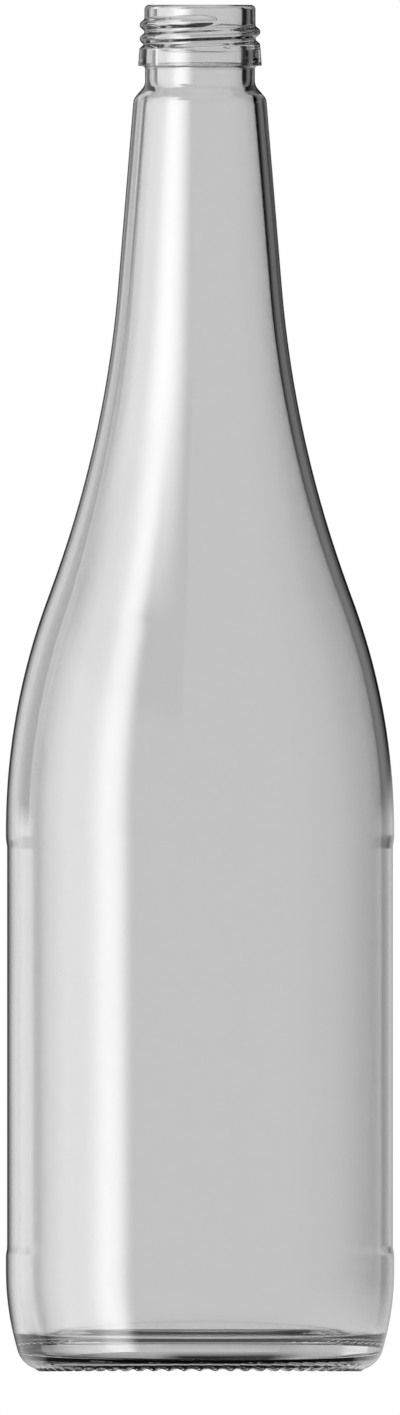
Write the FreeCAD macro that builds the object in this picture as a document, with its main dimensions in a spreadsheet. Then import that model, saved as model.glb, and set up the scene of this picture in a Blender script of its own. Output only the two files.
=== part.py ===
import FreeCAD, Part
import math
import os
import Sketcher
from FreeCAD import Placement, Rotation, Vector

# One-litre glass beverage bottle, empty and without its cap: a single piece of blown glass.
# Origin at the centre of the base, where the bottle stands, +Z up to the mouth. Millimetres.
# Every outline is half a section in the XZ plane: X is the radius and Z is the height.

SIZES = [
    # overall form
    ("bottle_height", 311.0, "tips of the base ridges to the rim"),
    ("body_radius", 44.2, "outside of the straight body"),
    ("wall", 2.7, "glass thickness of heel, body, shoulder and neck"),
    ("shoulder_start", 123.1, "height where the body leaves the vertical"),
    ("shoulder_radius", 151.3, "convex sweep of the shoulder"),
    ("neck_length", 64.4, "rim down to the end of the straight conical neck"),
    ("neck_end_radius", 18.65, "outside of the conical neck at that place"),
    ("neck_angle", 4.81, "half angle of the conical neck, degrees"),
    # heel and base
    ("heel_start", 22.95, "height where the heel leaves the vertical"),
    ("heel_radius", 62.7, "slow upper sweep of the heel"),
    ("corner_radius", 5.87, "tight lower sweep of the heel"),
    ("ring_width", 1.6, "flat bearing ring between heel and push-up"),
    ("ring_fillet", 3.0, "rounding from the bearing ring into the push-up"),
    ("push_up", 6.4, "height of the hollow under the base, at the axis"),
    ("base_glass", 5.4, "glass thickness of the base at the axis"),
    ("floor_radius", 240.0, "crown of the inside floor"),
    ("floor_edge", 4.0, "rounding of the floor's edge"),
    ("trough_glass", 6.2, "glass between the bearing ring and the trough round the floor"),
    ("trough_radius", 3.4, "rounding of that trough"),
    # knurled ridges that the bottle stands on
    ("ridge_count", 64, "ridges round the bearing ring"),
    ("ridge_height", 0.55, "how far they stand down from the ring"),
    ("ridge_crest", 0.15, "width of the flat on a ridge"),
    ("ridge_crest_length", 1.5, "length of that flat"),
    ("ridge_run_in", 1.1, "slope of a ridge's inner end, along the ridge, at ring height"),
    ("ridge_run_out", 0.7, "slope of its outer end"),
    ("ridge_flank", 0.75, "slope of its sides"),
    ("ridge_foot", 1.3, "height of its foot, inside the glass"),
    ("ridge_slant", 13.0, "turn of a ridge from the radius, outer end clockwise seen from above, degrees"),
    # shallow panel that a label would lie in
    ("panel_low_gap", 3.55, "straight body between the heel and the panel's lower edge"),
    ("panel_high_gap", 1.9, "straight body between its upper edge and the shoulder"),
    ("panel_depth", 0.28, "how far it lies back from the body"),
    ("panel_step", 1.7, "height of the slope at each edge"),
    # flare between the conical neck and the finish
    ("finish_length", 21.4, "rim down to the corner of cone and flare"),
    ("flare_angle", 40.5, "half angle of the flare, degrees"),
    ("flare_fillet", 2.8, "rounding at both ends of the flare"),
    ("throat_drop", 0.6, "inside corner of neck and flare, below the outside one"),
    ("throat_fillet", 5.0, "inside rounding from the bore into the flare"),
    ("throat_corner", 1.8, "inside rounding from the flare into the neck"),
    # finish: the mouth, the thread and the bead below it
    ("finish_radius", 12.63, "outside of the finish between the threads"),
    ("finish_wall", 2.93, "glass thickness of the finish"),
    ("collar_step", 0.13, "how much narrower the straight glass under the bead is"),
    ("rim_rounding", 1.1, "outer edge of the rim"),
    ("lip_rounding", 0.9, "inner edge of the rim"),
    ("mouth_clearance", 1.0, "how far the cavity's cut runs out above the rim"),
    ("bead_low", 13.95, "rim down to the underside of the bead"),
    ("bead_high", 10.0, "rim down to the bead's top edge"),
    ("bead_low_stand", 1.45, "how far the bead's lower edge stands out from the finish"),
    ("bead_high_stand", 1.14, "how far its upper edge stands out"),
    ("bead_slope", 1.12, "height of the slope above the bead"),
    ("bead_fillet", 0.7, "rounding under the bead"),
    ("bead_edge", 0.3, "rounding of the bead's two edges"),
    ("thread_height", 1.08, "crest of the thread above the finish"),
    ("thread_rounding", 1.0, "radius of the thread's round crest"),
    ("thread_flank", 53.0, "half of the crest's arc, degrees"),
    ("thread_sink", 0.25, "how deep the thread's root lies in the wall"),
    ("thread_pitch", 3.175, "rise in one turn, eight turns to the inch"),
    ("thread_in_bead", 1.14, "bead's upper edge down to the thread's centre at its hidden start"),
    ("thread_top", 3.78, "rim down to the thread's centre where the full thread ends"),
    ("thread_end_angle", 3.0, "direction of that place, from the front towards +X, degrees"),
    ("run_out_turns", 0.045, "turn over which the thread sinks into the wall"),
    ("run_out_drop", 1.3, "how far it sinks"),
]

doc = FreeCAD.newDocument("BeverageBottle")


# ---------------------------------------------------------------- driving sizes

sheet = doc.addObject("Spreadsheet::Sheet", "sizes")
for row, (name, number, note) in enumerate(SIZES, start=1):
    sheet.set("A%d" % row, name)
    sheet.set("B%d" % row, str(number))
    sheet.set("C%d" % row, note)
    sheet.setAlias("B%d" % row, name)
doc.recompute()


def size(name):
    """The number in the sheet's cell of that name."""
    return float(sheet.get(name))


# ---------------------------------------------------------------- plane geometry

def beside(point, angle, distance):
    """The place at a distance from a point, in a direction in degrees from +X."""
    turn = math.radians(angle)
    return (point[0] + distance * math.cos(turn), point[1] + distance * math.sin(turn))


def towards(point, target, distance):
    """The place at a distance from a point on the line to a target."""
    whole = math.dist(point, target)
    share = distance / whole
    return (point[0] + share * (target[0] - point[0]), point[1] + share * (target[1] - point[1]))


def meet(centre_a, radius_a, centre_b, radius_b, side):
    """Where two circles cross: side +1 lies left of the line from a to b, side -1 right."""
    gap = math.dist(centre_a, centre_b)
    along = (gap ** 2 + radius_a ** 2 - radius_b ** 2) / (2 * gap)
    across = side * math.sqrt(radius_a ** 2 - along ** 2)
    ux = (centre_b[0] - centre_a[0]) / gap
    uy = (centre_b[1] - centre_a[1]) / gap
    return (centre_a[0] + along * ux - across * uy, centre_a[1] + along * uy + across * ux)


def fillet_run(corner, angle_in, angle_out, radius):
    """Start, centre and end of a fillet at a corner that a run reaches and leaves at two angles."""
    turn = angle_out - angle_in
    reach = radius * math.tan(math.radians(abs(turn) / 2))
    start = beside(corner, angle_in, -reach)
    end = beside(corner, angle_out, reach)
    centre = beside(start, angle_in + math.copysign(90, turn), radius)
    return start, centre, end


# ---------------------------------------------------------------- sketch helpers

class Outline:
    """A run of lines and arcs in one sketch, each joined to the one before."""

    def __init__(self, sketch, start):
        self.sketch = sketch
        self.at = start
        self.pieces = []

    def join(self, number, near, far, smooth):
        if self.pieces:
            last, end = self.pieces[-1][0], self.pieces[-1][2]
            kind = "Tangent" if smooth else "Coincident"
            self.sketch.addConstraint(Sketcher.Constraint(kind, last, end, number, near))
        self.pieces.append((number, near, far))
        return number

    def line(self, to, smooth=False):
        segment = Part.LineSegment(Vector(*self.at, 0), Vector(*to, 0))
        number = self.sketch.addGeometry(segment, False)
        self.at = to
        return self.join(number, 1, 2, smooth)

    def arc(self, centre, to, turn, smooth=True):
        """An arc to a point, turning left (+1) or right (-1) as it goes."""
        start = math.atan2(self.at[1] - centre[1], self.at[0] - centre[0])
        end = math.atan2(to[1] - centre[1], to[0] - centre[0])
        if turn < 0:
            start, end = end, start
        if end < start:
            end += 2 * math.pi
        circle = Part.Circle(Vector(*centre, 0), Vector(0, 0, 1), math.dist(centre, to))
        number = self.sketch.addGeometry(Part.ArcOfCircle(circle, start, end), False)
        self.at = to
        near, far = (1, 2) if turn > 0 else (2, 1)
        return self.join(number, near, far, smooth)

    def close(self):
        """Join the last piece to the first."""
        first, last = self.pieces[0], self.pieces[-1]
        self.sketch.addConstraint(Sketcher.Constraint("Coincident", last[0], last[2], first[0], first[1]))


ORIGIN = (-1, 1)
Z_LINE = -2


def bind(sketch, name, constraint, expression):
    """Add a dimension under a name and tie it to an expression in the sheet's values."""
    number = sketch.addConstraint(constraint)
    sketch.renameConstraint(number, name)
    sketch.setExpression("Constraints." + name, expression)


def bind_height(sketch, name, point, expression):
    """Tie a point's height above the base."""
    level = sketch.getPoint(*point).y
    bind(sketch, name, Sketcher.Constraint("DistanceY", *ORIGIN, *point, level), expression)


def bind_reach(sketch, name, point, expression):
    """Tie a point's distance from the axis."""
    reach = sketch.getPoint(*point).x
    bind(sketch, name, Sketcher.Constraint("DistanceX", *ORIGIN, *point, reach), expression)


def bind_round(sketch, name, arc, expression):
    """Tie an arc's radius."""
    radius = sketch.Geometry[arc].Radius
    bind(sketch, name, Sketcher.Constraint("Radius", arc, radius), expression)


def bind_way(sketch, name, line, expression):
    """Tie a line's direction, in degrees from +X."""
    segment = sketch.Geometry[line]
    way = segment.EndPoint - segment.StartPoint
    bind(sketch, name, Sketcher.Constraint("Angle", line, math.atan2(way.y, way.x)),
         "(" + expression + ") * 1 deg")


def measure(sketch, name, constraint):
    """Add a reference dimension that other sketches and features can read."""
    number = sketch.addConstraint(constraint)
    sketch.setDriving(number, False)
    sketch.renameConstraint(number, name)


def plane_of(body, role):
    for feature in body.Origin.OriginFeatures:
        if feature.Role == role:
            return feature
    raise RuntimeError("the body has no " + role)


def new_sketch(body, name, plane="XZ_Plane"):
    sketch = body.newObject("Sketcher::SketchObject", name)
    sketch.AttachmentSupport = [(plane_of(body, plane), "")]
    sketch.MapMode = "FlatFace"
    return sketch


# ---------------------------------------------------------------- the outside, heel to collar

def draw_vessel(body):
    """Base, heel, body, shoulder, neck and flare, up into the bead."""
    height = size("bottle_height")
    body_radius = size("body_radius")
    ring = size("ridge_height")
    panel_radius = body_radius - size("panel_depth")
    step_low = size("heel_start") + size("panel_low_gap")
    step_high = size("shoulder_start") - size("panel_high_gap")
    collar_radius = size("finish_radius") - size("collar_step")

    heel_centre = (body_radius - size("heel_radius"), size("heel_start"))
    corner = size("corner_radius")
    reach = size("heel_radius") - corner
    rise = ring + corner - heel_centre[1]
    corner_centre = (heel_centre[0] + math.sqrt(reach ** 2 - rise ** 2), ring + corner)
    ring_start = corner_centre[0] - size("ring_width")

    fillet = size("ring_fillet")
    fillet_centre = (ring_start, ring + fillet)
    drop = size("push_up") - fillet_centre[1]
    dome = (drop ** 2 + ring_start ** 2 - fillet ** 2) / (2 * (drop + fillet))
    dome_centre = (0, size("push_up") - dome)

    shoulder = size("shoulder_radius")
    shoulder_centre = (body_radius - shoulder, size("shoulder_start"))
    neck_end = (size("neck_end_radius"), height - size("neck_length"))
    offset = (neck_end[0] - shoulder_centre[0], neck_end[1] - shoulder_centre[1])
    outward = beside((0, 0), size("neck_angle"), 1)
    lean = offset[0] * outward[0] + offset[1] * outward[1]
    flank = (math.hypot(*offset) ** 2 - shoulder ** 2) / (2 * (shoulder - lean))
    flank_centre = beside(neck_end, size("neck_angle"), flank)

    neck_way = 90 + size("neck_angle")
    flare_way = 90 + size("flare_angle")
    neck_rise = size("neck_length") - size("finish_length")
    neck_corner = beside(neck_end, neck_way, neck_rise / math.cos(math.radians(size("neck_angle"))))
    flare_reach = (neck_corner[0] - collar_radius) / math.sin(math.radians(size("flare_angle")))
    collar_corner = beside(neck_corner, flare_way, flare_reach)
    flare_low = fillet_run(neck_corner, neck_way, flare_way, size("flare_fillet"))
    flare_high = fillet_run(collar_corner, flare_way, 90, size("flare_fillet"))
    top = height - size("bead_high")

    sketch = new_sketch(body, "vessel_outline")
    run = Outline(sketch, (0, size("push_up")))
    push_up = run.arc(dome_centre, towards(fillet_centre, dome_centre, fillet), -1)
    ring_round = run.arc(fillet_centre, (ring_start, ring), 1)
    ring_flat = run.line((corner_centre[0], ring), smooth=True)
    corner_arc = run.arc(corner_centre, towards(heel_centre, corner_centre, size("heel_radius")), 1)
    heel = run.arc(heel_centre, (body_radius, heel_centre[1]), 1)
    low_wall = run.line((body_radius, step_low), smooth=True)
    low_step = run.line((panel_radius, step_low + size("panel_step")))
    panel = run.line((panel_radius, step_high - size("panel_step")))
    high_step = run.line((body_radius, step_high))
    high_wall = run.line((body_radius, shoulder_centre[1]))
    shoulder_arc = run.arc(shoulder_centre, towards(shoulder_centre, flank_centre, shoulder), 1)
    flank_arc = run.arc(flank_centre, neck_end, -1)
    neck = run.line(flare_low[0], smooth=True)
    low_fillet = run.arc(flare_low[1], flare_low[2], 1)
    flare = run.line(flare_high[0], smooth=True)
    high_fillet = run.arc(flare_high[1], flare_high[2], -1)
    collar = run.line((collar_radius, top), smooth=True)
    lid = run.line((0, top))
    axis = run.line((0, size("push_up")))
    run.close()

    corner_mark = sketch.addGeometry(Part.Point(Vector(*neck_corner, 0)), True)
    sketch.addConstraint([
        Sketcher.Constraint("PointOnObject", push_up, 2, Z_LINE),
        Sketcher.Constraint("PointOnObject", push_up, 3, Z_LINE),
        Sketcher.Constraint("PointOnObject", axis, 1, Z_LINE),
        Sketcher.Constraint("Horizontal", ring_flat),
        Sketcher.Constraint("Vertical", low_wall),
        Sketcher.Constraint("Vertical", panel),
        Sketcher.Constraint("Vertical", high_wall),
        Sketcher.Constraint("Vertical", collar),
        Sketcher.Constraint("Horizontal", lid),
        Sketcher.Constraint("PointOnObject", corner_mark, 1, neck),
        Sketcher.Constraint("PointOnObject", corner_mark, 1, flare),
    ])
    bind_height(sketch, "push_up", (push_up, 2), "sizes.push_up")
    bind_height(sketch, "ring_level", (ring_flat, 1), "sizes.ridge_height")
    bind(sketch, "ring_width",
         Sketcher.Constraint("DistanceX", ring_flat, 1, ring_flat, 2, size("ring_width")), "sizes.ring_width")
    bind_round(sketch, "ring_fillet", ring_round, "sizes.ring_fillet")
    bind_round(sketch, "corner_radius", corner_arc, "sizes.corner_radius")
    bind_round(sketch, "heel_radius", heel, "sizes.heel_radius")
    bind_height(sketch, "heel_start", (low_wall, 1), "sizes.heel_start")
    bind_reach(sketch, "body_radius", (low_wall, 1), "sizes.body_radius")
    bind_height(sketch, "step_low", (low_step, 1), "sizes.heel_start + sizes.panel_low_gap")
    bind_height(sketch, "panel_start", (panel, 1),
                "sizes.heel_start + sizes.panel_low_gap + sizes.panel_step")
    bind_reach(sketch, "panel_radius", (panel, 1), "sizes.body_radius - sizes.panel_depth")
    bind_height(sketch, "panel_end", (panel, 2),
                "sizes.shoulder_start - sizes.panel_high_gap - sizes.panel_step")
    bind_height(sketch, "step_high", (high_step, 2), "sizes.shoulder_start - sizes.panel_high_gap")
    bind_reach(sketch, "high_radius", (high_wall, 1), "sizes.body_radius")
    bind_height(sketch, "shoulder_start", (high_wall, 2), "sizes.shoulder_start")
    bind_round(sketch, "shoulder_radius", shoulder_arc, "sizes.shoulder_radius")
    bind_reach(sketch, "neck_end_radius", (neck, 1), "sizes.neck_end_radius")
    bind_height(sketch, "neck_end", (neck, 1), "sizes.bottle_height - sizes.neck_length")
    bind_way(sketch, "neck_way", neck, "90 + sizes.neck_angle")
    bind_height(sketch, "neck_corner", (corner_mark, 1), "sizes.bottle_height - sizes.finish_length")
    bind_way(sketch, "flare_way", flare, "90 + sizes.flare_angle")
    bind_round(sketch, "low_fillet", low_fillet, "sizes.flare_fillet")
    bind_round(sketch, "high_fillet", high_fillet, "sizes.flare_fillet")
    bind_reach(sketch, "collar_radius", (collar, 1), "sizes.finish_radius - sizes.collar_step")
    bind_height(sketch, "top", (collar, 2), "sizes.bottle_height - sizes.bead_high")
    measure(sketch, "flank_radius", Sketcher.Constraint("Radius", flank_arc, flank))
    measure(sketch, "ring_outside",
            Sketcher.Constraint("DistanceX", *ORIGIN, ring_flat, 2, corner_centre[0]))
    return sketch


# ---------------------------------------------------------------- the inside

def draw_cavity(body, vessel):
    """The space inside: floor and trough, then a wall's thickness in from the outside, and the bore."""
    height = size("bottle_height")
    wall = size("wall")
    wall_radius = size("body_radius") - wall

    floor_top = size("push_up") + size("base_glass")
    floor_centre = (0, floor_top - size("floor_radius"))
    heel_centre = (size("body_radius") - size("heel_radius"), size("heel_start"))
    heel = size("heel_radius") - wall
    trough = size("trough_radius")
    trough_level = size("ridge_height") + size("trough_glass") + trough
    reach = heel - trough
    rise = trough_level - heel_centre[1]
    trough_centre = (heel_centre[0] + math.sqrt(reach ** 2 - rise ** 2), trough_level)
    edge = size("floor_edge")
    edge_centre = meet(floor_centre, size("floor_radius") - edge, trough_centre, edge + trough, 1)

    shoulder = size("shoulder_radius") - wall
    shoulder_centre = (size("body_radius") - size("shoulder_radius"), size("shoulder_start"))
    flank = vessel.getDatum("flank_radius").Value
    flank_centre = beside((size("neck_end_radius"), height - size("neck_length")),
                          size("neck_angle"), flank)
    neck_end = beside(flank_centre, size("neck_angle"), -flank - wall)
    neck_way = 90 + size("neck_angle")
    flare_way = 90 + size("flare_angle")
    corner_height = height - size("finish_length") - size("throat_drop")
    bore_radius = size("finish_radius") - size("finish_wall")
    neck_rise = corner_height - neck_end[1]
    neck_corner = beside(neck_end, neck_way, neck_rise / math.cos(math.radians(size("neck_angle"))))
    flare_reach = (neck_corner[0] - bore_radius) / math.sin(math.radians(size("flare_angle")))
    bore_corner = beside(neck_corner, flare_way, flare_reach)
    throat_low = fillet_run(neck_corner, neck_way, flare_way, size("throat_corner"))
    throat_high = fillet_run(bore_corner, flare_way, 90, size("throat_fillet"))
    lip = size("lip_rounding")
    lip_radius = bore_radius + lip
    open_top = height + size("mouth_clearance")

    sketch = new_sketch(body, "cavity_outline")
    run = Outline(sketch, (0, floor_top))
    floor = run.arc(floor_centre, towards(floor_centre, edge_centre, size("floor_radius")), -1)
    floor_edge = run.arc(edge_centre, towards(edge_centre, trough_centre, edge), -1)
    trough_arc = run.arc(trough_centre, towards(heel_centre, trough_centre, heel), 1)
    heel_arc = run.arc(heel_centre, (wall_radius, heel_centre[1]), 1)
    side = run.line((wall_radius, shoulder_centre[1]), smooth=True)
    shoulder_arc = run.arc(shoulder_centre, towards(shoulder_centre, flank_centre, shoulder), 1)
    flank_arc = run.arc(flank_centre, neck_end, -1)
    neck = run.line(throat_low[0], smooth=True)
    low_fillet = run.arc(throat_low[1], throat_low[2], 1)
    flare = run.line(throat_high[0], smooth=True)
    high_fillet = run.arc(throat_high[1], throat_high[2], -1)
    bore = run.line((bore_radius, height - lip), smooth=True)
    lip_arc = run.arc((lip_radius, height - lip), (lip_radius, height), -1)
    mouth = run.line((lip_radius, open_top))
    lid = run.line((0, open_top))
    axis = run.line((0, floor_top))
    run.close()

    corner_mark = sketch.addGeometry(Part.Point(Vector(*neck_corner, 0)), True)
    sketch.addConstraint([
        Sketcher.Constraint("PointOnObject", floor, 2, Z_LINE),
        Sketcher.Constraint("PointOnObject", floor, 3, Z_LINE),
        Sketcher.Constraint("PointOnObject", axis, 1, Z_LINE),
        Sketcher.Constraint("Vertical", side),
        Sketcher.Constraint("Vertical", bore),
        Sketcher.Constraint("Vertical", mouth),
        Sketcher.Constraint("Horizontal", lid),
        Sketcher.Constraint("Vertical", lip_arc, 3, lip_arc, 1),
        Sketcher.Constraint("PointOnObject", corner_mark, 1, neck),
        Sketcher.Constraint("PointOnObject", corner_mark, 1, flare),
    ])
    bind_height(sketch, "floor_top", (floor, 2), "sizes.push_up + sizes.base_glass")
    bind_round(sketch, "floor_radius", floor, "sizes.floor_radius")
    bind_round(sketch, "floor_edge", floor_edge, "sizes.floor_edge")
    bind_round(sketch, "trough_radius", trough_arc, "sizes.trough_radius")
    bind_height(sketch, "trough_level", (trough_arc, 3),
                "sizes.ridge_height + sizes.trough_glass + sizes.trough_radius")
    bind_round(sketch, "heel_radius", heel_arc, "sizes.heel_radius - sizes.wall")
    bind_height(sketch, "heel_start", (side, 1), "sizes.heel_start")
    bind_reach(sketch, "wall_radius", (side, 1), "sizes.body_radius - sizes.wall")
    bind_height(sketch, "shoulder_start", (side, 2), "sizes.shoulder_start")
    bind_round(sketch, "shoulder_radius", shoulder_arc, "sizes.shoulder_radius - sizes.wall")
    bind_round(sketch, "flank_radius", flank_arc,
               "vessel_outline.Constraints.flank_radius + sizes.wall * 1 mm")
    bind_height(sketch, "neck_end", (neck, 1), "sizes.bottle_height - sizes.neck_length"
              " - sizes.wall * sin(sizes.neck_angle * 1 deg)")
    bind_way(sketch, "neck_way", neck, "90 + sizes.neck_angle")
    bind_height(sketch, "neck_corner", (corner_mark, 1),
              "sizes.bottle_height - sizes.finish_length - sizes.throat_drop")
    bind_way(sketch, "flare_way", flare, "90 + sizes.flare_angle")
    bind_round(sketch, "low_fillet", low_fillet, "sizes.throat_corner")
    bind_round(sketch, "high_fillet", high_fillet, "sizes.throat_fillet")
    bind_reach(sketch, "bore_radius", (bore, 1), "sizes.finish_radius - sizes.finish_wall")
    bind_round(sketch, "lip_rounding", lip_arc, "sizes.lip_rounding")
    bind_height(sketch, "rim", (mouth, 1), "sizes.bottle_height")
    bind_height(sketch, "open_top", (mouth, 2), "sizes.bottle_height + sizes.mouth_clearance")
    return sketch


# ---------------------------------------------------------------- the finish: bead, mouth and thread

def draw_finish(body):
    """The bead that the bottle is carried by, with the plain finish above it up to the rim."""
    height = size("bottle_height")
    collar = size("finish_radius") - size("collar_step")
    fillet = size("bead_fillet")
    edge = size("bead_edge")
    underside = height - size("bead_low")
    rim = size("rim_rounding")
    finish = size("finish_radius")
    low_corner = (finish + size("bead_low_stand"), underside)
    high_corner = (finish + size("bead_high_stand"), height - size("bead_high"))
    slope_end = (finish, high_corner[1] + size("bead_slope"))
    taper_way = math.degrees(math.atan2(high_corner[1] - low_corner[1], high_corner[0] - low_corner[0]))
    slope_way = math.degrees(math.atan2(slope_end[1] - high_corner[1], slope_end[0] - high_corner[0]))
    low_edge = fillet_run(low_corner, 0, taper_way, edge)
    high_edge = fillet_run(high_corner, taper_way, slope_way, edge)

    sketch = new_sketch(body, "finish_outline")
    run = Outline(sketch, (0, underside - fillet))
    bottom = run.line((collar, underside - fillet))
    fillet_centre = (collar + fillet, underside - fillet)
    neck_fillet = run.arc(fillet_centre, (collar + fillet, underside), -1, smooth=False)
    ledge = run.line(low_edge[0], smooth=True)
    low_arc = run.arc(low_edge[1], low_edge[2], 1)
    taper = run.line(high_edge[0], smooth=True)
    high_arc = run.arc(high_edge[1], high_edge[2], 1)
    slope = run.line(slope_end, smooth=True)
    wall = run.line((finish, height - rim))
    rim_arc = run.arc((finish - rim, height - rim), (finish - rim, height), 1)
    top = run.line((0, height), smooth=True)
    run.line((0, underside - fillet))
    run.close()

    low_mark = sketch.addGeometry(Part.Point(Vector(*low_corner, 0)), True)
    high_mark = sketch.addGeometry(Part.Point(Vector(*high_corner, 0)), True)
    sketch.addConstraint([
        Sketcher.Constraint("PointOnObject", bottom, 1, Z_LINE),
        Sketcher.Constraint("PointOnObject", top, 2, Z_LINE),
        Sketcher.Constraint("Horizontal", bottom),
        Sketcher.Constraint("Horizontal", ledge),
        Sketcher.Constraint("Vertical", wall),
        Sketcher.Constraint("Horizontal", top),
        Sketcher.Constraint("Horizontal", neck_fillet, 3, neck_fillet, 2),
        Sketcher.Constraint("PointOnObject", low_mark, 1, ledge),
        Sketcher.Constraint("PointOnObject", low_mark, 1, taper),
        Sketcher.Constraint("PointOnObject", high_mark, 1, taper),
        Sketcher.Constraint("PointOnObject", high_mark, 1, slope),
    ])
    bind_reach(sketch, "collar_radius", (bottom, 2), "sizes.finish_radius - sizes.collar_step")
    bind_round(sketch, "bead_fillet", neck_fillet, "sizes.bead_fillet")
    bind_height(sketch, "underside", (ledge, 1), "sizes.bottle_height - sizes.bead_low")
    bind_round(sketch, "low_edge", low_arc, "sizes.bead_edge")
    bind_round(sketch, "high_edge", high_arc, "sizes.bead_edge")
    bind_reach(sketch, "bead_low", (low_mark, 1), "sizes.finish_radius + sizes.bead_low_stand")
    bind_reach(sketch, "bead_high", (high_mark, 1), "sizes.finish_radius + sizes.bead_high_stand")
    bind_height(sketch, "bead_top", (high_mark, 1), "sizes.bottle_height - sizes.bead_high")
    bind_reach(sketch, "finish_radius", (wall, 1), "sizes.finish_radius")
    bind_height(sketch, "slope_end", (wall, 1), "sizes.bottle_height - sizes.bead_high + sizes.bead_slope")
    bind_round(sketch, "rim_rounding", rim_arc, "sizes.rim_rounding")
    bind_height(sketch, "rim", (top, 1), "sizes.bottle_height")
    return sketch


def draw_thread(body, name, direction, level, direction_expression, level_expression):
    """The thread's section, standing in the plane through the axis that lies in one direction.

    The direction is an angle from the front, -Y, towards +X.
    """
    rounding = size("thread_rounding")
    root = size("finish_radius") - size("thread_sink")
    half = size("thread_flank")
    centre = (size("finish_radius") + size("thread_height") - rounding, level)
    low = beside(centre, -half, rounding)
    high = beside(centre, half, rounding)
    flank_rise = (low[0] - root) / math.tan(math.radians(half))

    sketch = new_sketch(body, name)
    sketch.AttachmentOffset = Placement(Vector(0, 0, 0), Rotation(Vector(0, 1, 0), direction - 90))
    sketch.setExpression("AttachmentOffset.Rotation.Angle", "(" + direction_expression + " - 90) * 1 deg")
    run = Outline(sketch, (root, low[1] - flank_rise))
    low_flank = run.line(low)
    crest = run.arc(centre, high, 1)
    high_flank = run.line((root, high[1] + flank_rise), smooth=True)
    root_line = run.line((root, low[1] - flank_rise))
    run.close()
    sketch.addConstraint(Sketcher.Constraint("Vertical", root_line))
    bind_way(sketch, "low_way", low_flank, "90 - sizes.thread_flank")
    bind_way(sketch, "high_way", high_flank, "90 + sizes.thread_flank")
    bind_round(sketch, "rounding", crest, "sizes.thread_rounding")
    bind_reach(sketch, "crest_centre", (crest, 3),
               "sizes.finish_radius + sizes.thread_height - sizes.thread_rounding")
    bind_height(sketch, "level", (crest, 3), level_expression)
    bind_reach(sketch, "root", (root_line, 1), "sizes.finish_radius - sizes.thread_sink")
    return sketch


# ---------------------------------------------------------------- the bottle

def spin(body, kind, name, sketch):
    """A full turn of a sketch about the bottle's axis."""
    feature = body.newObject(kind, name)
    feature.Profile = (sketch, [""])
    feature.ReferenceAxis = (sketch, ["V_Axis"])
    feature.Angle = 360.0
    return feature


def wind(body, name, sketch, mode, expressions):
    """A helix of a sketch about the bottle's axis, rising to the right."""
    feature = body.newObject("PartDesign::AdditiveHelix", name)
    feature.Profile = (sketch, [""])
    feature.ReferenceAxis = (sketch, ["V_Axis"])
    feature.Mode = mode
    for property_name, expression in expressions.items():
        feature.setExpression(property_name, expression)
    return feature


def add_thread(body):
    """A right-hand thread that rises out of the bead and sinks into the wall at its top end."""
    rise = size("bead_high") + size("thread_in_bead") - size("thread_top")
    turns = rise / size("thread_pitch")
    end_angle = size("thread_end_angle")
    end_level = size("bottle_height") - size("thread_top")
    rise_text = "(sizes.bead_high + sizes.thread_in_bead - sizes.thread_top)"
    turns_text = rise_text + " / sizes.thread_pitch"
    end_text = "sizes.bottle_height - sizes.thread_top"

    start = draw_thread(body, "thread_start", end_angle - 360 * turns, end_level - rise,
                        "sizes.thread_end_angle - 360 * " + turns_text, end_text + " - " + rise_text)
    wind(body, "thread", start, "pitch-turns-angle",
         {"Pitch": "sizes.thread_pitch", "Turns": turns_text})
    end = draw_thread(body, "thread_end", end_angle, end_level, "sizes.thread_end_angle", end_text)
    return wind(body, "run_out", end, "height-turns-growth",
                {"Height": "sizes.run_out_turns * sizes.thread_pitch",
                 "Turns": "sizes.run_out_turns",
                 "Growth": "-sizes.run_out_drop / sizes.run_out_turns"})


def add_ridges(body, vessel):
    """Slanted ridges moulded under the bearing ring, so that only their crests touch the conveyor.

    Each is a hipped wedge: its crest lies at the height of zero, and its foot is inside the glass.
    """
    ridge = body.newObject("PartDesign::AdditiveWedge", "ridge")
    ridge.AttachmentSupport = [(plane_of(body, "XZ_Plane"), "")]
    ridge.MapMode = "FlatFace"
    ridge.AttachmentOffset = Placement(Vector(0, 0, 1), Rotation(Vector(0, 1, 0), -size("ridge_slant")))
    ridge.setExpression("AttachmentOffset.Base.z", vessel.Name + ".Constraints.ring_outside")
    ridge.setExpression("AttachmentOffset.Rotation.Angle", "-sizes.ridge_slant * 1 deg")
    deep = "sizes.ridge_foot / sizes.ridge_height"
    places = {
        "Ymin": "0",
        "Ymax": "sizes.ridge_foot",
        "Xmin": "-sizes.ridge_crest / 2",
        "Xmax": "sizes.ridge_crest / 2",
        "Zmin": "-sizes.ridge_crest_length / 2",
        "Zmax": "sizes.ridge_crest_length / 2",
        "X2min": "-sizes.ridge_crest / 2 - sizes.ridge_flank * " + deep,
        "X2max": "sizes.ridge_crest / 2 + sizes.ridge_flank * " + deep,
        "Z2min": "-sizes.ridge_crest_length / 2 - sizes.ridge_run_in * " + deep,
        "Z2max": "sizes.ridge_crest_length / 2 + sizes.ridge_run_out * " + deep,
    }
    for property_name, expression in places.items():
        ridge.setExpression(property_name, expression)
    doc.recompute()

    ring = body.newObject("PartDesign::PolarPattern", "ridge_ring")
    ring.Originals = [ridge]
    ring.Axis = (plane_of(body, "Z_Axis"), [""])
    ring.Angle = 360.0
    ring.setExpression("Occurrences", "sizes.ridge_count")
    return ring


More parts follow.
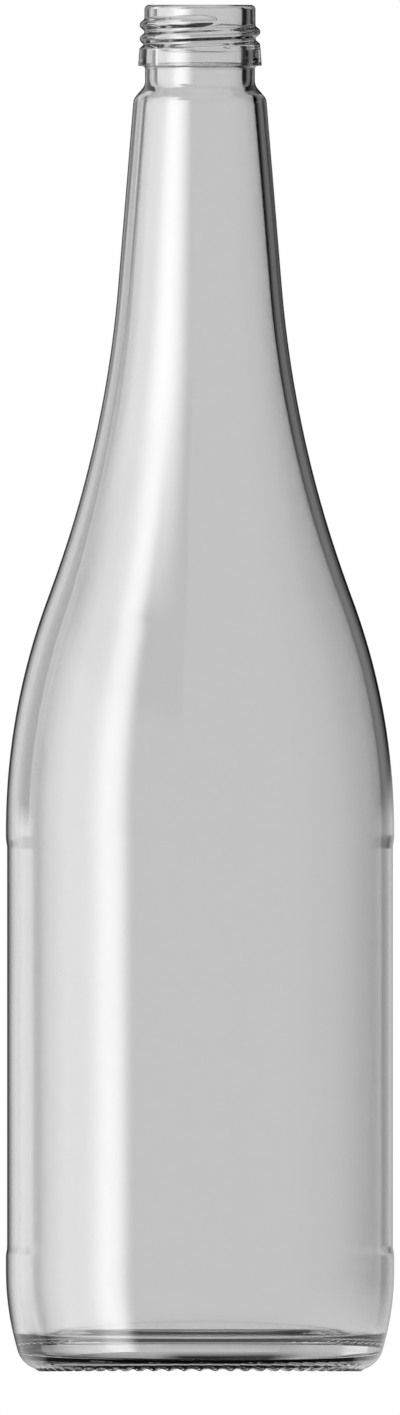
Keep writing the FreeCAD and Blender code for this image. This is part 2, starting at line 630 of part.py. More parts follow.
def make_bottle():
    body = doc.addObject("PartDesign::Body", "Bottle")
    body.Label = "bottle"

    vessel = draw_vessel(body)
    spin(body, "PartDesign::Revolution", "vessel", vessel)
    spin(body, "PartDesign::Revolution", "finish", draw_finish(body))
    run_out = add_thread(body)
    doc.recompute()
    solid_volume = run_out.Shape.Volume

    cavity = spin(body, "PartDesign::Groove", "cavity", draw_cavity(body, vessel))
    doc.recompute()
    if cavity.Shape.Volume > solid_volume / 2:
        raise RuntimeError("the cavity took too little glass away")

    ridges = add_ridges(body, vessel)
    body.Tip = ridges
    doc.recompute()
    if ridges.Shape.Volume <= cavity.Shape.Volume:
        raise RuntimeError("the ridges added no glass")
    return body


bottle = make_bottle()


# ---------------------------------------------------------------- checks and files

for item in doc.Objects:
    if "Invalid" in item.State or "Error" in item.State:
        raise RuntimeError(item.Name + " failed: " + ", ".join(item.State))
    if item.TypeId == "Sketcher::SketchObject" and not item.FullyConstrained:
        raise RuntimeError(item.Name + " is not fully constrained")

os.makedirs("parts", exist_ok=True)
for part in [bottle]:
    shape = part.Shape
    if shape.isNull() or not shape.isValid() or len(shape.Solids) != 1:
        raise RuntimeError(part.Label + " is not one valid solid")
    shape.exportStep(os.path.join("parts", part.Label + ".step"))
    box = shape.optimalBoundingBox(False)
    print("%s: %.1f x %.1f x %.1f mm, base at %.3f, glass %.1f cm3"
          % (part.Label, box.XLength, box.YLength, box.ZLength, box.ZMin, shape.Volume / 1000))
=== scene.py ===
# %% [markdown]
# # A one-litre beverage bottle in flint glass
# The bottle is one piece of blown glass, empty and without its cap. A fixed CAD frame gives its
# place and size, and this lesson makes the surface that a viewer sees: the outline first, then
# the screw thread and the knurled base, then the glass, and last the studio.

import math

import bpy
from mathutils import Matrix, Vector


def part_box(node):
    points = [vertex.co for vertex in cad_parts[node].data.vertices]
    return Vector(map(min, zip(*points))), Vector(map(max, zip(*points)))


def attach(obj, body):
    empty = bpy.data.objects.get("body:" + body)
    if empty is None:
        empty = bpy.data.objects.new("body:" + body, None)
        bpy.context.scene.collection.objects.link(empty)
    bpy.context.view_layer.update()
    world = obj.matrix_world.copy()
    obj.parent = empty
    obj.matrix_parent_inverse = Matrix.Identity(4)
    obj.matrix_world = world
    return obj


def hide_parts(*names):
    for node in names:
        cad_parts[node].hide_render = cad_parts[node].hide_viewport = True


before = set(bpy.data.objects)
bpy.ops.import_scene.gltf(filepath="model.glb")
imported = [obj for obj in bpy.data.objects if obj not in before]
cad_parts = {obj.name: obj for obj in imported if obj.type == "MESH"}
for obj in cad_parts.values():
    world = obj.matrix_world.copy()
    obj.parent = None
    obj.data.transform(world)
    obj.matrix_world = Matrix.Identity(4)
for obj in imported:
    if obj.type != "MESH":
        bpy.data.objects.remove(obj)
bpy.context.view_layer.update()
low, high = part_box("bottle")
MM = 0.001
HEIGHT = (high.z - low.z) / MM
BODY = min(high.x, -low.x, high.y, -low.y) / MM
print("bottle", round(HEIGHT, 2), "mm tall,", round(2 * BODY, 2), "mm across")

# %% [markdown]
# ## Drawing with arcs
# A blown bottle has no hard corner: each straight run flows into the next through an arc. So the
# outline is drawn as a mould maker draws it, from arcs and short straight runs, in millimetres of
# radius and height. Two small helpers are enough: one walks along an arc, the other rounds the
# corner where two straight runs meet.

# %% Arcs and rounded corners
def arc(centre, radius, start, end, step=5.0):
    count = max(2, math.ceil(abs(end - start) / step))
    points = []
    for i in range(count + 1):
        turn = math.radians(start + (end - start) * i / count)
        points.append((centre[0] + radius * math.cos(turn), centre[1] + radius * math.sin(turn)))
    return points


def rounded(before, corner, after, radius, step=9.0):
    to_before = math.atan2(before[1] - corner[1], before[0] - corner[0])
    to_after = math.atan2(after[1] - corner[1], after[0] - corner[0])
    half = ((to_after - to_before + math.pi) % (2 * math.pi) - math.pi) / 2
    middle = to_before + half
    reach = radius / math.sin(abs(half))
    centre = (corner[0] + reach * math.cos(middle), corner[1] + reach * math.sin(middle))
    sign = math.copysign(1, half)
    start = math.degrees(to_before - sign * math.pi / 2)
    end = start - sign * (180 - math.degrees(abs(half)) * 2)
    return arc(centre, radius, start, end, step)


def meeting(first, first_reach, second, second_reach, upper=True):
    gap = math.dist(first, second)
    along = (first_reach ** 2 - second_reach ** 2 + gap ** 2) / (2 * gap)
    off = math.sqrt(first_reach ** 2 - along ** 2)
    ux, uz = (second[0] - first[0]) / gap, (second[1] - first[1]) / gap
    side = 1 if upper else -1
    return (first[0] + along * ux - side * off * uz, first[1] + along * uz + side * off * ux)


def heading(start, end):
    return math.degrees(math.atan2(end[1] - start[1], end[0] - start[0]))


# %% [markdown]
# ## Base
# The bottle stands on a bearing ring. Inside the ring the base is hollow, the push-up, so that its
# middle never touches the table. Outside it the heel turns up in two arcs, a tight one and then a
# long one, because a sharp heel would chip.

# %% Base, from the axis out to the heel
PUSH_UP = 6.4
DOME_SWEEP = 100.32
RING_LEVEL = 0.55
RING_OUT = 35.873
RING_IN = RING_OUT - 1.6
RING_FILLET = 3.0
HEEL_START = 22.95
HEEL_SWEEP = 62.7
CORNER = 5.87

fillet_centre = (RING_IN, RING_LEVEL + RING_FILLET)
dome_centre = (0.0, PUSH_UP - DOME_SWEEP)
dome_end = heading(dome_centre, fillet_centre)
heel_centre = (BODY - HEEL_SWEEP, HEEL_START)
corner_centre = (RING_OUT, RING_LEVEL + CORNER)
heel_turn = heading(heel_centre, corner_centre)

push_up = arc(dome_centre, DOME_SWEEP, 90, dome_end, 1.3)
inner_fillet = arc(fillet_centre, RING_FILLET, dome_end - 180, -90, 6)
corner_sweep = arc(corner_centre, CORNER, -90, heel_turn, 4)
heel = arc(heel_centre, HEEL_SWEEP, heel_turn, 0, 1.7)
print("heel turns", round(-heel_turn, 1), "degrees; push-up", len(push_up), "points")

# %% [markdown]
# ## Body, shoulder and neck
# The body is a straight cylinder with a shallow panel for a label: two faint steps, a quarter of
# a millimetre deep. Above it the shoulder is one large convex arc, which runs into a larger
# hollow arc and then into the straight cone of the neck. Each arc ends where the next one
# touches it, so the tangent points are worked out from the centres and not guessed.

# %% Body, shoulder and neck
PANEL_DEPTH = 0.28
SHOULDER_START = 123.1
SHOULDER_SWEEP = 151.3
NECK_ANGLE = 4.81
NECK_LOW = (18.65, HEIGHT - 64.4)
FLANK_SWEEP = 261.352

panel = BODY - PANEL_DEPTH
body = [
    (BODY, 25.2),
    (BODY, 26.2),
    (BODY - 0.02, 26.6),
    (panel + 0.02, 28.1),
    (panel, 28.6),
    (panel, 50.0),
    (panel, 75.0),
    (panel, 100.0),
    (panel, 119.1),
    (panel + 0.02, 119.6),
    (BODY - 0.02, 121.1),
    (BODY, 121.6),
    (BODY, 122.4),
]
neck_normal = math.radians(NECK_ANGLE)
flank_centre = (
    NECK_LOW[0] + FLANK_SWEEP * math.cos(neck_normal),
    NECK_LOW[1] + FLANK_SWEEP * math.sin(neck_normal),
)
shoulder_centre = (BODY - SHOULDER_SWEEP, SHOULDER_START)
shoulder_turn = heading(shoulder_centre, flank_centre)
shoulder = arc(shoulder_centre, SHOULDER_SWEEP, 0, shoulder_turn, 0.8)
flank = arc(flank_centre, FLANK_SWEEP, 180 + shoulder_turn, 180 + NECK_ANGLE, 0.7)
print("shoulder and flank meet at", [round(v, 1) for v in shoulder[-1]])

# %% [markdown]
# ## Finish
# Glassmakers call the mouth and its thread the finish. Below the thread stands a bead that the
# foot of a cap is crimped under, and below that the glass flares out to the neck. The flare's
# two corners are rounded, because glass pulls itself round while it is hot.

# %% Flare, collar, bead and rim
FLARE_LOW = (15.12, HEIGHT - 21.4)
FLARE_ANGLE = 40.5
FLARE_ROUND = 2.8
COLLAR = 12.5
FINISH = 12.63
BEAD_LOW = HEIGHT - 13.95
BEAD_HIGH = HEIGHT - 10.0
BEAD_SLOPE = 1.12
RIM_ROUND = 1.1

flare_rise = (FLARE_LOW[0] - COLLAR) / math.tan(math.radians(FLARE_ANGLE))
flare_top = (COLLAR, FLARE_LOW[1] + flare_rise)
under_bead = (COLLAR, BEAD_LOW)
bead_foot = (FINISH + 1.45, BEAD_LOW)
bead_top = (FINISH + 1.14, BEAD_HIGH)
bead_end = (FINISH, BEAD_HIGH + BEAD_SLOPE)
flare = rounded(NECK_LOW, FLARE_LOW, flare_top, FLARE_ROUND, 5)
flare += rounded(FLARE_LOW, flare_top, under_bead, FLARE_ROUND, 5)
collar = rounded(flare_top, under_bead, bead_foot, 0.7, 9)
collar += rounded(under_bead, bead_foot, bead_top, 0.3, 12)
bead = rounded(bead_foot, bead_top, bead_end, 0.3, 12)
rim = arc((FINISH - RIM_ROUND, HEIGHT - RIM_ROUND), RIM_ROUND, 0, 90, 6)
print("flare runs from", [round(v, 1) for v in FLARE_LOW], "to", [round(v, 1) for v in flare_top])

# %% [markdown]
# ## Inside
# A blow-moulded wall is nearly even, so the inside follows the outside at 2.7 mm. At the bottom
# the glass is thick: the floor is a shallow crown with a rounded trough round it. The trough bends
# the view low on the bottle and draws grey bars there, so its place shows.

# %% The inside, from the lip down to the floor
WALL = 2.7
BORE = FINISH - 2.93
LIP_ROUND = 0.9
FLOOR_TOP = PUSH_UP + 5.4
FLOOR_SWEEP = 240.0
FLOOR_EDGE = 4.0
TROUGH = 3.4
TROUGH_LOW = RING_LEVEL + 6.2

inner_neck_low = (
    NECK_LOW[0] - WALL * math.cos(neck_normal),
    NECK_LOW[1] - WALL * math.sin(neck_normal),
)
throat_level = FLARE_LOW[1] - 0.6
throat = (inner_neck_low[0] - (throat_level - inner_neck_low[1]) * math.tan(neck_normal), throat_level)
throat_rise = (throat[0] - BORE) / math.tan(math.radians(FLARE_ANGLE))
bore_low = (BORE, throat_level + throat_rise)

lip = arc((BORE + LIP_ROUND, HEIGHT - LIP_ROUND), LIP_ROUND, 90, 180, 6)
inner_throat = rounded(lip[-1], bore_low, throat, 5.0, 5)
inner_throat += rounded(bore_low, throat, inner_neck_low, 1.8, 7)
inner_flank = arc(flank_centre, FLANK_SWEEP + WALL, 180 + NECK_ANGLE, 180 + shoulder_turn, 0.8)
inner_shoulder = arc(shoulder_centre, SHOULDER_SWEEP - WALL, shoulder_turn, 0, 0.9)

inner_heel = HEEL_SWEEP - WALL
trough_level = TROUGH_LOW + TROUGH
trough_out = heel_centre[0] + math.sqrt((inner_heel - TROUGH) ** 2 - (HEEL_START - trough_level) ** 2)
trough_centre = (trough_out, trough_level)
floor_centre = (0.0, FLOOR_TOP - FLOOR_SWEEP)
edge_centre = meeting(floor_centre, FLOOR_SWEEP - FLOOR_EDGE, trough_centre, FLOOR_EDGE + TROUGH)
trough_turn = heading(heel_centre, trough_centre)
edge_turn = heading(edge_centre, trough_centre)
crown_turn = heading(floor_centre, edge_centre)
inner_sweep = arc(heel_centre, inner_heel, 0, trough_turn, 2)
trough = arc(trough_centre, TROUGH, trough_turn, edge_turn - 180, 6)
floor_edge = arc(edge_centre, FLOOR_EDGE, edge_turn, crown_turn, 6)
floor_crown = arc(floor_centre, FLOOR_SWEEP, crown_turn, 90, 0.6)
print("trough at radius", round(trough_out, 1), "and its low line", round(TROUGH_LOW, 2), "mm up")

# %% [markdown]
# ## Screw thread
# A thread could be swept along a helix and joined on, but a join in clear glass shows as a hard
# seam. Here it is a relief instead: at each point of the finish the surface takes whichever
# stands further out, the plain wall or the thread's round section, and a soft maximum blends the
# two as hot glass would. The turns rise 3.175 mm each, which is eight to the inch.

# %% The thread as a relief
PITCH = 3.175
THREAD_TOP = HEIGHT - 3.78
THREAD_TURNS = 2.318
THREAD_CREST = FINISH + 1.08
THREAD_ROUND = 1.0
THREAD_FLANK = math.radians(53)
RUN_OUT = 0.045
RUN_OUT_DROP = 1.3
THREAD_BLEND = 0.22
FULL_END = math.radians(3 - 90)


def softer(first, second, blend):
    return (first + second + math.sqrt((first - second) ** 2 + blend ** 2)) / 2


def thread_section(offset):
    offset = abs(offset)
    half = THREAD_ROUND * math.sin(THREAD_FLANK)
    centre = THREAD_CREST - THREAD_ROUND
    if offset <= half:
        return centre + math.sqrt(THREAD_ROUND ** 2 - offset ** 2)
    side = centre + THREAD_ROUND * math.cos(THREAD_FLANK)
    return side - (offset - half) * math.tan(THREAD_FLANK)


def thread_relief(radius, level, angle):
    back = ((FULL_END - angle) / (2 * math.pi)) % 1.0
    result = radius
    for turn in range(3):
        if back + turn <= THREAD_TURNS:
            section = thread_section(level - THREAD_TOP + PITCH * (back + turn))
            result = softer(result, section, THREAD_BLEND)
    ahead = 1.0 - back
    if ahead <= RUN_OUT:
        sunk = RUN_OUT_DROP * ahead / RUN_OUT
        section = thread_section(level - THREAD_TOP - PITCH * ahead) - sunk
        result = softer(result, section, THREAD_BLEND)
    return result, level


# %% [markdown]
# ## Knurled base
# The bottle stands on 64 short ridges pressed into the bearing ring. They keep the hot base off
# the conveyor, and each is turned a little from the radius. Like the thread they are a relief,
# this time measured downwards.

# %% The ridges as a relief
RIDGES = 64
RIDGE_SLANT = math.radians(13)
RIDGE_BLEND = 0.16
RIDGE_HALF_LENGTH = 0.75
RIDGE_HALF_CREST = 0.075
RIDGE_FLANK = 0.75
RIDGE_RUN_IN = 1.1
RIDGE_RUN_OUT = 0.7
RIDGE_ROUND = 0.2


def ridge_relief(radius, level, angle):
    pitch = 2 * math.pi / RIDGES
    off = (angle + pitch / 2) % pitch - pitch / 2
    lowest = level
    for neighbour in (-1, 0, 1):
        turn = off + neighbour * pitch
        out = radius * math.cos(turn) - RING_OUT
        side = radius * math.sin(turn)
        along = out * math.cos(RIDGE_SLANT) - side * math.sin(RIDGE_SLANT)
        across = out * math.sin(RIDGE_SLANT) + side * math.cos(RIDGE_SLANT)
        flank = (abs(across) - RIDGE_HALF_CREST) / RIDGE_FLANK
        run_in = (-along - RIDGE_HALF_LENGTH) / RIDGE_RUN_IN
        run_out = (along - RIDGE_HALF_LENGTH) / RIDGE_RUN_OUT
        ends = softer(run_in, run_out, RIDGE_ROUND)
        rise = softer(ends, softer(flank, 0.0, RIDGE_ROUND), RIDGE_ROUND)
        lowest = -softer(-lowest, -RING_LEVEL * rise, RIDGE_BLEND)
    return radius, max(lowest, 0.0)


# %% [markdown]
# ## One closed skin
# The outline is now turned round the axis, row by row. Most rows have 192 points. The ridges
# need finer ones, so their rows have four times as many, and small fans join the two densities.
# The skin closes on the axis at both ends, above and below the base, so the glass is one solid.
# Smooth shading would tilt a long straight run near its ends, so such a run gets one more row
# close to each end, which holds it flat.

# %% The skin
COLUMNS = 192
FINE = 4 * COLUMNS
KNURL_ROWS = 0.3
BEAD_ROWS = 0.14
THREAD_ROWS = 0.1
THREAD_ROWS_END = (FINISH, HEIGHT - 1.3)
KNURL_IN = 31.4
KNURL_OUT = 39.7
KNURL_TOP = 2.2
KNURL_GAP = (31.0, 39.9)


def between(start, end, part):
    return (start[0] + (end[0] - start[0]) * part, start[1] + (end[1] - start[1]) * part)


def mid_points(points, longest):
    result = [points[0]]
    for start, end in zip(points, points[1:]):
        count = max(1, math.ceil(math.dist(start, end) / longest))
        result += [between(start, end, i / count) for i in range(1, count + 1)]
    return result


def held(points, longest=1.2, reach=0.2):
    result = [points[0]]
    for start, end in zip(points, points[1:]):
        length = math.dist(start, end)
        if length > longest:
            result.append(between(start, end, reach / length))
            result.append(between(start, end, 1 - reach / length))
        result.append(end)
    return result


def row(point, columns, relief):
    result = []
    for i in range(columns):
        angle = 2 * math.pi * i / columns
        radius, level = relief(*point, angle) if relief else point
        result.append((radius * math.cos(angle) * MM, radius * math.sin(angle) * MM, level * MM))
    return result


base_run = push_up[1:] + inner_fillet[1:] + corner_sweep
base_rows = mid_points(base_run, KNURL_ROWS)
knurled = [p for p in base_rows if KNURL_IN < p[0] < KNURL_OUT and p[1] < KNURL_TOP]
corner_rows = [p for p in corner_sweep if p[0] > KNURL_GAP[1]]
throat_rows = held(lip[-1:] + inner_throat + inner_flank[:1])
zones = [
    ([p for p in push_up[1:] if p[0] < KNURL_GAP[0]], COLUMNS, None),
    (knurled, FINE, ridge_relief),
    (corner_rows + heel[1:] + held(body, 3.0), COLUMNS, None),
    (shoulder + flank[1:] + held(flank[-1:] + flare + collar + bead[:1])[1:-1], COLUMNS, None),
    (mid_points(bead[:-1] + [bead_end], BEAD_ROWS)[:-1], COLUMNS, thread_relief),
    (mid_points([bead_end, THREAD_ROWS_END], THREAD_ROWS), COLUMNS, thread_relief),
    (rim + lip + throat_rows[1:], COLUMNS, None),
    (inner_flank[1:] + inner_shoulder[1:], COLUMNS, None),
    (held([inner_shoulder[-1], inner_sweep[0]])[1:-1], COLUMNS, None),
    (inner_sweep + trough[1:] + floor_edge[1:] + floor_crown[1:-1], COLUMNS, None),
]


def skin(name, zones, bottom, top):
    points = [(0.0, 0.0, bottom * MM)]
    rows = []
    for outline, columns, relief in zones:
        for place in outline:
            rows.append((len(points), columns))
            points += row(place, columns, relief)
    points.append((0.0, 0.0, top * MM))
    faces = []
    first, count = rows[0]
    faces += [(0, first + (i + 1) % count, first + i) for i in range(count)]
    for (a, na), (b, nb) in zip(rows, rows[1:]):
        if na == nb:
            for i in range(na):
                j = (i + 1) % na
                faces.append((a + i, a + j, b + j, b + i))
            continue
        coarse, fine, n, m, flip = (a, b, na, nb, False) if na < nb else (b, a, nb, na, True)
        ratio = m // n
        for i in range(n):
            j = (i + 1) % n
            near = fine + i * ratio
            half = ratio // 2
            fan = [(coarse + i, near + k + 1, near + k) for k in range(half)]
            fan.append((coarse + i, coarse + j, near + half))
            for k in range(half, ratio):
                fan.append((coarse + j, fine + (i * ratio + k + 1) % m, near + k))
            faces += [face[::-1] for face in fan] if flip else fan
    last, count = rows[-1]
    faces += [(len(points) - 1, last + i, last + (i + 1) % count) for i in range(count)]
    mesh = bpy.data.meshes.new(name)
    mesh.from_pydata(points, [], faces)
    mesh.shade_smooth()
    mesh.validate()
    piece = bpy.data.objects.new(name, mesh)
    bpy.context.scene.collection.objects.link(piece)
    return piece


bottle = skin("flint_bottle", zones, PUSH_UP, FLOOR_TOP)
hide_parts("bottle")
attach(bottle, "root")
print("skin:", len(bottle.data.vertices), "points,", len(bottle.data.polygons), "faces")

# %% [markdown]
# ## Colours and nodes
# Colours are written as they look on a screen, as hex, and one function turns them to the linear
# values that light works in. One more function adds a node with its settings and links.

# %% Colour and node helpers
def linear(hex_colour):
    values = []
    for i in (1, 3, 5):
        value = int(hex_colour[i:i + 2], 16) / 255
        values.append(value / 12.92 if value <= 0.04045 else ((value + 0.055) / 1.055) ** 2.4)
    return (*values, 1.0)


def add(tree, kind, links=None, **settings):
    node = tree.nodes.new(kind)
    for key, value in settings.items():
        if hasattr(node, key):
            setattr(node, key, value)
        else:
            node.inputs[key.replace("_", " ")].default_value = value
    for socket, source in (links or {}).items():
        tree.links.new(source, node.inputs[socket])
    return node


def new_material(name):
    material = bpy.data.materials.new(name)
    material.use_nodes = True
    material.node_tree.nodes.clear()
    return material


# %% [markdown]
# ## Flint glass, blown and fire-polished
# Flint is the trade's word for clear bottle glass. Soda-lime glass bends light with an IOR of
# 1.52 and is quite smooth where flame has polished it. A blown wall is never perfectly even, so
# a very slow, very low relief bends the reflections a little. The grey of the surface and of the
# depth is stronger than real flint's, so that the clear middle of the bottle stands out from white.

# %% Flint glass
def flint_glass():
    material = new_material("flint_glass_blown")
    tree = material.node_tree
    place = add(tree, "ShaderNodeTexCoord")
    slow = add(tree, "ShaderNodeTexNoise", {"Vector": place.outputs["Object"]}, Scale=28.0, Detail=1.0)
    relief = add(tree, "ShaderNodeBump", {"Height": slow.outputs["Fac"]}, Strength=0.05, Distance=0.001)
    glass = add(tree, "ShaderNodeBsdfPrincipled", {"Normal": relief.outputs["Normal"]})
    glass.inputs["Base Color"].default_value = linear("#DEDEDE")
    glass.inputs["Transmission Weight"].default_value = 1.0
    glass.inputs["Roughness"].default_value = 0.0
    glass.inputs["IOR"].default_value = 1.52
    depth = add(tree, "ShaderNodeVolumeAbsorption", Color=linear("#CBCBCB"), Density=12.0)
    out = add(tree, "ShaderNodeOutputMaterial", {"Surface": glass.outputs[0], "Volume": depth.outputs[0]})
    return material


bottle.data.materials.append(flint_glass())

# %% [markdown]
# ## Studio: the floor
# Clear glass shows its surroundings and little else, so the studio is part of the finish. The
# bottle stands on a pale paper sweep that takes its shadow. Glass sees the world instead of the
# paper, so that no second horizon shows inside the base.

# %% Floor
FLOOR = 3.0
floor_mesh = bpy.data.meshes.new("studio_floor")
corners = [(-FLOOR, -FLOOR, 0), (FLOOR, -FLOOR, 0), (FLOOR, FLOOR, 0), (-FLOOR, FLOOR, 0)]
floor_mesh.from_pydata(corners, [], [(0, 1, 2, 3)])
floor = bpy.data.objects.new("studio_floor", floor_mesh)
bpy.context.scene.collection.objects.link(floor)
paper = new_material("matt_white_paper")
tree = paper.node_tree
paint = add(tree, "ShaderNodeBsdfDiffuse", Color=linear("#F4F4F2"))
add(tree, "ShaderNodeOutputMaterial", {"Surface": paint.outputs[0]})
floor_mesh.materials.append(paper)
floor.visible_glossy = False
floor.visible_transmission = False
print("floor", 2 * FLOOR, "m wide")

# %% [markdown]
# ## Studio: the world
# The camera and the floor see a plain white world. Glass sees the same white at eye level, with a
# dark band high above, because clear glass needs something dark to draw its edges and its thread.
# Far below it sees a dark table too, but only in reflections and through one wall. Each surface
# that light crosses counts as one: a reflection has none, one wall has two, and the whole bottle
# has four. So light through the whole bottle sees a pale table, and the glass stays clear from
# above. The grade runs over the sine of the height, from straight down at -1 to straight up at 1.


# %% World
def fill_ramp(ramp, levels, start, end, peak=1.0):
    stops = ramp.color_ramp.elements
    stops.remove(stops[0])
    for index, (place, level) in enumerate(levels):
        at = (place - start) / (end - start)
        stop = stops[0] if index == 0 else stops.new(at)
        stop.position = at
        stop.color = (level / peak, level / peak, level / peak, 1)


REFLECTIONS = 0.5
ONE_WALL = 2.5
EVERY_PATH = 20
CEILING = [(0.3, 1.0), (0.37, 0.06), (0.78, 0.04), (0.86, 1.1), (1.0, 1.5)]
DARK_TABLE = [(-1.0, 0.05), (-0.6, 0.07), (-0.5, 0.1), (-0.44, 0.8), (-0.36, 0.95), (-0.3, 1.0)]
PALE_TABLE = [(-1.0, 0.9), (-0.3, 1.0)]
world = bpy.data.worlds.new("studio")
bpy.context.scene.world = world
world.use_nodes = True
tree = world.node_tree
tree.nodes.clear()
path = add(tree, "ShaderNodeLightPath")
rays = {0: path.outputs["Is Glossy Ray"], 1: path.outputs["Is Transmission Ray"]}
glass_ray = add(tree, "ShaderNodeMath", rays, operation="MAXIMUM")
way = add(tree, "ShaderNodeTexCoord")
parts = add(tree, "ShaderNodeSeparateXYZ", {"Vector": way.outputs["Generated"]})
lift = add(tree, "ShaderNodeMapRange", {"Value": parts.outputs["Z"]}, From_Min=-1.0, From_Max=1.0)
near_grade = add(tree, "ShaderNodeValToRGB", {"Fac": lift.outputs["Result"]})
fill_ramp(near_grade, DARK_TABLE + CEILING, -1.0, 1.0)
far_grade = add(tree, "ShaderNodeValToRGB", {"Fac": lift.outputs["Result"]})
fill_ramp(far_grade, PALE_TABLE + CEILING, -1.0, 1.0)
crossed = {0: path.outputs["Transmission Depth"]}
whole = add(tree, "ShaderNodeMath", crossed, operation="GREATER_THAN")
whole.inputs[1].default_value = ONE_WALL
grades = {0: whole.outputs[0], "Color1": near_grade.outputs[0], "Color2": far_grade.outputs[0]}
grade = add(tree, "ShaderNodeMixRGB", grades)
white = add(tree, "ShaderNodeBackground", Color=(1, 1, 1, 1), Strength=1.0)
graded = add(tree, "ShaderNodeBackground", {"Color": grade.outputs["Color"]}, Strength=1.0)
choice = {0: glass_ray.outputs[0], 1: white.outputs[0], 2: graded.outputs[0]}
mix = add(tree, "ShaderNodeMixShader", choice)
add(tree, "ShaderNodeOutputWorld", {"Surface": mix.outputs[0]})
print("world graded in", len(DARK_TABLE + CEILING), "steps")

# %% [markdown]
# ## Studio: curved cards
# Round the bottle stands a ring of cards, as in a product studio. Each is a strip of a cylinder,
# from one bearing to another: 0 is the camera's side, 90 is its right. Only glass sees them. They
# are hidden from the camera and from matt surfaces, and cast no shadow.


# %% A curved card
def card(name, start, end, bottom, top, radius, material):
    columns = max(2, round(abs(end - start) / 2))
    points = []
    faces = []
    for i in range(columns + 1):
        turn = math.radians(start + (end - start) * i / columns)
        x, y = radius * math.sin(turn), -radius * math.cos(turn)
        points += [(x, y, bottom), (x, y, top)]
        if i:
            faces.append((2 * i - 2, 2 * i, 2 * i + 1, 2 * i - 1))
    mesh = bpy.data.meshes.new(name)
    mesh.from_pydata(points, [], faces)
    layer = mesh.uv_layers.new(name="across")
    for loop in mesh.loops:
        column, level = divmod(loop.vertex_index, 2)
        layer.data[loop.index].uv = (column / columns, level)
    mesh.materials.append(material)
    piece = bpy.data.objects.new(name, mesh)
    bpy.context.scene.collection.objects.link(piece)
    piece.visible_camera = False
    piece.visible_diffuse = False
    piece.visible_shadow = False
    return piece


# %% [markdown]
# ## Studio: how bright each card is
# A card's brightness is a list of bearings and levels, where 1 is white. With two lists the card
# runs from the first at its foot to the second at its top. Most cards are seen in reflections and
# through one wall. Light that crosses the whole bottle passes through them, which keeps them out
# of the clear part.


# %% A card's glow
def glow(name, foot, head=None, deepest=ONE_WALL):
    material = new_material(name)
    tree = material.node_tree
    place = add(tree, "ShaderNodeUVMap", uv_map="across")
    parts = add(tree, "ShaderNodeSeparateXYZ", {"Vector": place.outputs["UV"]})
    peak = max(0.001, *[level for _, level in foot + (head or [])])
    first = add(tree, "ShaderNodeValToRGB", {"Fac": parts.outputs["X"]})
    fill_ramp(first, foot, foot[0][0], foot[-1][0], peak)
    second = add(tree, "ShaderNodeValToRGB", {"Fac": parts.outputs["X"]})
    fill_ramp(second, head or foot, foot[0][0], foot[-1][0], peak)
    sides = {0: parts.outputs["Y"], "Color1": first.outputs[0], "Color2": second.outputs[0]}
    blend = add(tree, "ShaderNodeMixRGB", sides)
    light = add(tree, "ShaderNodeEmission", {"Color": blend.outputs[0]}, Strength=peak)
    path = add(tree, "ShaderNodeLightPath")
    crossed = {0: path.outputs["Transmission Depth"]}
    near = add(tree, "ShaderNodeMath", crossed, operation="LESS_THAN")
    near.inputs[1].default_value = deepest
    clear = add(tree, "ShaderNodeBsdfTransparent")
    shown = {0: near.outputs[0], 1: clear.outputs[0], 2: light.outputs[0]}
    mix = add(tree, "ShaderNodeMixShader", shown)
    add(tree, "ShaderNodeOutputMaterial", {"Surface": mix.outputs[0]})
    return material


# %% [markdown]
# ## Studio: the soft box
# A tall soft box on the left draws the long bright stripe, and is seen in reflections only. Its
# cloth is brightest near the edge that faces the camera and fades towards the back, as cloth does
# beside its lamp. A white card beside it keeps the front of the bottle even.

# %% Soft box and white card
RING = 1.3
CARD_FOOT = -0.9
CARD_HEAD = 2.2
SOFT_BOX = [
    (-12, 1.0), (-37, 1.0), (-40, 1.15), (-43, 2.7), (-45.5, 5.4), (-49, 8.6), (-55, 9.8),
    (-60, 9.3), (-66, 6.8), (-72, 5.4), (-77, 5.1), (-88, 4.6), (-95, 3.4), (-102, 2.2),
    (-112, 0.6), (-122, 1.6),
]
FRONT = [(55, 1.0), (-12, 1.0)]
box_cloth = glow("soft_box_cloth", SOFT_BOX, deepest=REFLECTIONS)
card("key_soft_box", -12, -122, CARD_FOOT, CARD_HEAD, RING, box_cloth)
card("card_front", 55, -12, CARD_FOOT, CARD_HEAD, RING, glow("white_card", FRONT))
print("soft box from", SOFT_BOX[0][0], "to", SOFT_BOX[-1][0], "degrees")

# %% [markdown]
# ## Studio: a small reflector for the neck
# The neck is a third as wide as the body, and the stripe would shrink to a thread there. So a
# small reflector close to the neck widens it. From so near, the same stripe takes up a smaller
# angle, so its bearings are those of the ring times a scale.

# %% Neck reflector
REFLECTOR_RING = 0.06
REFLECTOR_SIDES = (-12, -60)
PLAIN_SCALE = 0.72
WIDE_SCALE = 0.82
WIDE_STRIPE = [
    (-20, 3.0), (-26, 6.1), (-31, 8.3), (-38, 10.5), (-45, 11.2), (-52, 11.2), (-60, 9.5), (-66, 7.6),
]


def from_near(stripe, scale, last):
    scaled = [(bearing * scale, level) for bearing, level in stripe]
    return [(REFLECTOR_SIDES[0], 1.0)] + scaled + [(REFLECTOR_SIDES[1], last)]


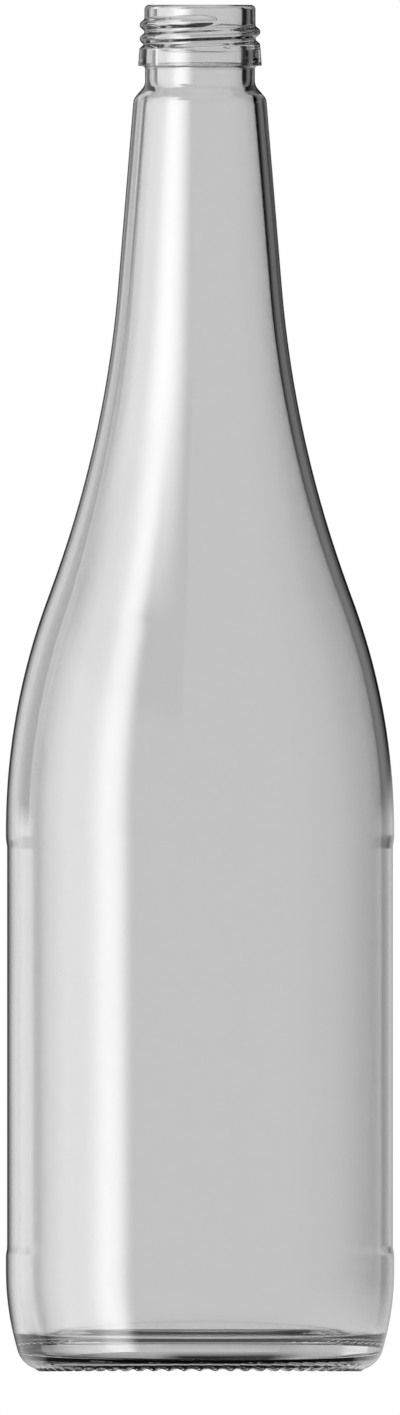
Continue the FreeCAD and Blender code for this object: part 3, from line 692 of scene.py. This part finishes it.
PLAIN = from_near(SOFT_BOX[1:10], PLAIN_SCALE, 4.8)
WIDE = from_near(WIDE_STRIPE, WIDE_SCALE, 5.8)
REFLECTOR = [("low", 0.187, 0.233, PLAIN, WIDE), ("high", 0.233, 0.32, WIDE, WIDE)]
for part, bottom, top, foot, head in REFLECTOR:
    cloth = glow("silver_cloth_" + part, foot, head, deepest=REFLECTIONS)
    card("neck_reflector_" + part, *REFLECTOR_SIDES, bottom, top, REFLECTOR_RING, cloth)
print("reflector", round((REFLECTOR[-1][2] - REFLECTOR[0][1]) / MM), "mm tall")

# %% [markdown]
# ## Studio: grey and black cards
# The wall of a bottle bends light most at its rim, where the eye sees what stands beside and
# behind. Grey and black cards there give the glass its dark outline. Each side is a plain run of
# a few tones. The lower cards draw the body's rim, and the upper ones, mostly darker, draw that
# of the neck and the finish. At the foot they fade from white, so that the heel has no edge. A
# strip of black felt stands behind the right card, and shows through the whole bottle too.

# %% Left and right cards
LEFT_LOW = [(-122, 1.5), (-137, 1.5), (-141, 0.95), (-154, 0.85), (-164, 0.1), (-180, 0.03)]
LEFT_HIGH = [(-122, 0.2), (-131, 0.2), (-137, 0.7), (-156, 0.9), (-164, 0.05), (-180, 0.02)]
RIGHT_LOW = [
    (55, 1.0), (84, 0.62), (112, 0.0), (129, 0.0), (135, 0.4), (152, 0.4), (158, 0.7), (170, 0.7),
    (176, 0.05), (180, 0.03),
]
RIGHT_HIGH = [
    (55, 1.0), (84, 0.62), (108, 0.0), (134, 0.0), (146, 0.25), (156, 0.25), (163, 0.0), (180, 0.02),
]
TABLE_LINE = -0.02
FADE_END = -0.3
FADE_FROM = 0.13
FADE_TO = 0.17
SIDES = [
    ("left", -122, -180, LEFT_LOW, LEFT_HIGH),
    ("right", 55, 180, RIGHT_LOW, RIGHT_HIGH),
]
for side, start, end, low_levels, high_levels in SIDES:
    name = "grey_card_" + side
    foot = glow(name + "_foot", [(start, 1.0), (end, 1.0)], low_levels)
    card(name + "_foot", start, end, FADE_END, TABLE_LINE, RING, foot)
    card(name + "_low", start, end, TABLE_LINE, FADE_FROM, RING, glow(name + "_low", low_levels))
    fade = glow(name + "_fade", low_levels, high_levels)
    card(name + "_fade", start, end, FADE_FROM, FADE_TO, RING, fade)
    card(name + "_high", start, end, FADE_TO, CARD_HEAD, RING, glow(name + "_high", high_levels))
FELT_SIDES = (126, 142)
FELT_GAP = 0.1
felt = glow("black_felt", [(side, 0.0) for side in FELT_SIDES], deepest=EVERY_PATH)
card("card_black", *FELT_SIDES, TABLE_LINE, CARD_HEAD, RING + FELT_GAP, felt)
print("cards stand", RING, "m from the bottle")

# %% [markdown]
# ## Camera
# The bottle is seen level and from so far that no line converges, so the camera is orthographic.

# %% Camera and view settings
FRAME_HEIGHT = 0.32195
DISTANCE = 2.0
EYE_LEVEL = 0.1511
camera = bpy.data.objects.new("camera", bpy.data.cameras.new("camera"))
bpy.context.scene.collection.objects.link(camera)
camera.data.type = "ORTHO"
camera.data.ortho_scale = FRAME_HEIGHT
camera.location = (0.0, -DISTANCE, EYE_LEVEL)
camera.rotation_euler = (math.radians(90), 0, 0)
camera.data.clip_end = 20
bpy.context.scene.camera = camera
bpy.context.scene.view_settings.view_transform = "Standard"
